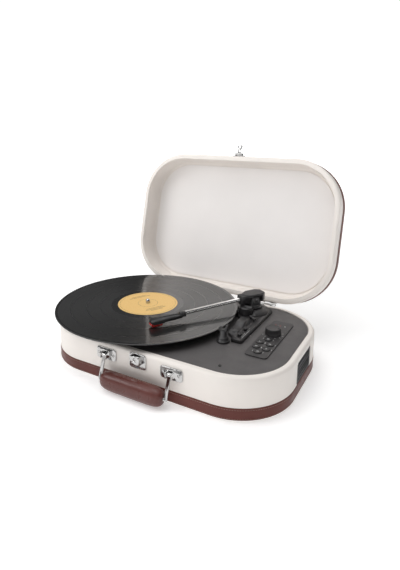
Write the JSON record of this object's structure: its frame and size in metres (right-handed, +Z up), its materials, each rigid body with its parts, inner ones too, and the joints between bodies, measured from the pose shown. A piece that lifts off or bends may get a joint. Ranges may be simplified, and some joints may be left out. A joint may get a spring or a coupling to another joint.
{
  "type": "suitcase record player",
  "caption": "Portable record player in a rounded suitcase with a hinged lid, carrying handle, belt-driven platter, tonearm and control panel.",
  "frame": {"origin": "centre of the whole object's box, lid open, on the plane that its feet stand on", "axes": "+X to the right seen from the front, +Y towards the lid's hinge, +Z up"},
  "size_m": [0.3958, 0.3871, 0.3358],
  "materials": {
    "cream_leather": "fine grain leatherette, satin",
    "brown_leather": "grained leatherette, semi-gloss",
    "lining_cloth": "smooth matt lining",
    "deck_leather": "pebbled leatherette, matt",
    "black_plastic": "fine moulded texture",
    "black_metal": "black paint",
    "black_board": "black stained board",
    "board_green": "solder mask",
    "red_plastic": "translucent red moulding",
    "felt": "felt nap",
    "rubber": "matt",
    "chrome": "polished plate",
    "satin_metal": "satin",
    "dark_steel": "brushed",
    "brass": "turned"
  },
  "bodies": {
    "base": {"base_shell": "cream_leather", "bottom_panel": "black_board", "base_band": "brown_leather", "deck_plate": "deck_leather", "foot_front_left": "rubber", "foot_front_right": "rubber", "foot_rear_left": "rubber", "foot_rear_right": "rubber", "speaker_grille_left": "black_plastic", "speaker_grille_right": "black_plastic", "speaker_left": "black_metal", "speaker_right": "black_metal", "circuit_board": "board_green", "jack_panel": "black_plastic", "hinge_base_leaf_left": "chrome", "hinge_base_leaf_right": "chrome", "hinge_pin_left": "chrome", "hinge_pin_right": "chrome", "handle_bracket_left": "chrome", "handle_bracket_right": "chrome", "latch_case": "chrome", "spindle": "chrome", "motor": "dark_steel", "drive_belt": "rubber", "arm_plate": "black_plastic", "arm_base": "black_plastic", "arm_rest": "black_plastic", "control_panel": "black_plastic"},
    "lid": {"lid_shell": "cream_leather", "lid_band": "brown_leather", "lid_lining": "lining_cloth", "hinge_lid_leaf_left": "chrome", "hinge_lid_leaf_right": "chrome", "hasp_plate": "chrome"},
    "hasp": {"hasp_arm": "chrome"},
    "handle": {"handle_frame": "chrome", "handle_grip": "brown_leather"},
    "lock": {"lock_cylinder": "dark_steel"},
    "catch": {"latch_catch": "chrome"},
    "platter": {"platter": "black_metal", "slip_mat": "felt"},
    "pulley": {"motor_pulley": "brass"},
    "arm_turret": {"arm_yoke": "black_plastic", "arm_pivot_pin": "chrome"},
    "arm": {"counterweight": "black_plastic", "arm_tube": "satin_metal", "headshell": "black_plastic", "cartridge": "black_plastic", "stylus": "red_plastic"},
    "cue_lever": {"lift_lever": "black_plastic"},
    "cue_bar": {"lift_bar": "black_plastic"},
    "speed_switch": {"speed_slider": "black_plastic"},
    "stop_switch": {"auto_stop_slider": "black_plastic"},
    "volume": {"volume_knob": "black_plastic"},
    "key_power": {"button_power": "black_plastic"},
    "key_previous": {"button_previous": "black_plastic"},
    "key_play": {"button_play": "black_plastic"},
    "key_mode": {"button_mode": "black_plastic"},
    "key_next": {"button_next": "black_plastic"},
    "key_record": {"button_record": "black_plastic"}
  },
  "joints": [
    {"name": "lid_hinge", "type": "hinge", "parent": "base", "child": "lid", "pos_m": [0, 0.09344, 0.0625], "axis": [-1, 0, 0], "range_deg": [-103.3, 0]},
    {"name": "hasp_swing", "type": "hinge", "parent": "lid", "child": "hasp", "pos_m": [0, 0.16094, 0.31761], "axis": [1, 0, 0], "range_deg": [0, 95]},
    {"name": "handle_swing", "type": "hinge", "parent": "base", "child": "handle", "pos_m": [0, -0.17126, 0.0465], "axis": [-1, 0, 0], "range_deg": [0, 100]},
    {"name": "lock_turn", "type": "hinge", "parent": "base", "child": "lock", "pos_m": [0, -0.16636, 0.0422], "axis": [0, -1, 0], "range_deg": [0, 90]},
    {"name": "catch_slide", "type": "slide", "parent": "base", "child": "catch", "axis": [0, -1, 0], "range_m": [0, 0.0027]},
    {"name": "platter_spin", "type": "hinge", "parent": "base", "child": "platter", "pos_m": [-0.072, -0.03806, 0.07], "axis": [0, 0, 1], "continuous": true},
    {"name": "pulley_spin", "type": "hinge", "parent": "base", "child": "pulley", "pos_m": [-0.032, -0.10734, 0.064], "axis": [0, 0, 1], "continuous": true},
    {"name": "arm_swing", "type": "hinge", "parent": "base", "child": "arm_turret", "pos_m": [0.084, 0.04294, 0.089], "axis": [0, 0, 1], "range_deg": [-14, 33.3]},
    {"name": "arm_lift", "type": "hinge", "parent": "arm_turret", "child": "arm", "pos_m": [0.084, 0.04294, 0.089], "axis": [-0.8494, 0.5277, 0], "range_deg": [0, 2.86]},
    {"name": "cue_lever_lift", "type": "hinge", "parent": "base", "child": "cue_lever", "pos_m": [0.0975, 0.00844, 0.0709], "axis": [-0.7193, -0.6947, 0], "range_deg": [0, 55.2]},
    {"name": "cue_bar_lift", "type": "slide", "parent": "base", "child": "cue_bar", "axis": [0, 0, 1], "range_m": [0, 0.00112]},
    {"name": "speed_slide", "type": "slide", "parent": "base", "child": "speed_switch", "axis": [0, 1, 0], "range_m": [-0.0024, 0.0108]},
    {"name": "auto_stop_slide", "type": "slide", "parent": "base", "child": "stop_switch", "axis": [0, 1, 0], "range_m": [0, 0.006]},
    {"name": "volume_turn", "type": "hinge", "parent": "base", "child": "volume", "pos_m": [0.1428, -0.01856, 0.068], "axis": [0, 0, 1], "range_deg": [-60, 240]},
    {"name": "power_press", "type": "slide", "parent": "base", "child": "key_power", "axis": [0, 0, -1], "range_m": [0, 0.0008], "stiffness_N_per_m": 300},
    {"name": "previous_press", "type": "slide", "parent": "base", "child": "key_previous", "axis": [0, 0, -1], "range_m": [0, 0.0008], "stiffness_N_per_m": 300},
    {"name": "play_press", "type": "slide", "parent": "base", "child": "key_play", "axis": [0, 0, -1], "range_m": [0, 0.0008], "stiffness_N_per_m": 300},
    {"name": "mode_press", "type": "slide", "parent": "base", "child": "key_mode", "axis": [0, 0, -1], "range_m": [0, 0.0008], "stiffness_N_per_m": 300},
    {"name": "next_press", "type": "slide", "parent": "base", "child": "key_next", "axis": [0, 0, -1], "range_m": [0, 0.0008], "stiffness_N_per_m": 300},
    {"name": "record_press", "type": "slide", "parent": "base", "child": "key_record", "axis": [0, 0, -1], "range_m": [0, 0.0008], "stiffness_N_per_m": 300}
  ],
  "couplings": [
    {"joint": "catch_slide", "follows": "lock_turn", "m_per_rad": 0.001655},
    {"joint": "pulley_spin", "follows": "platter_spin", "ratio": 10},
    {"joint": "cue_lever_lift", "follows": "arm_lift", "ratio": 19.2},
    {"joint": "cue_bar_lift", "follows": "arm_lift", "m_per_rad": 0.022}
  ]
}
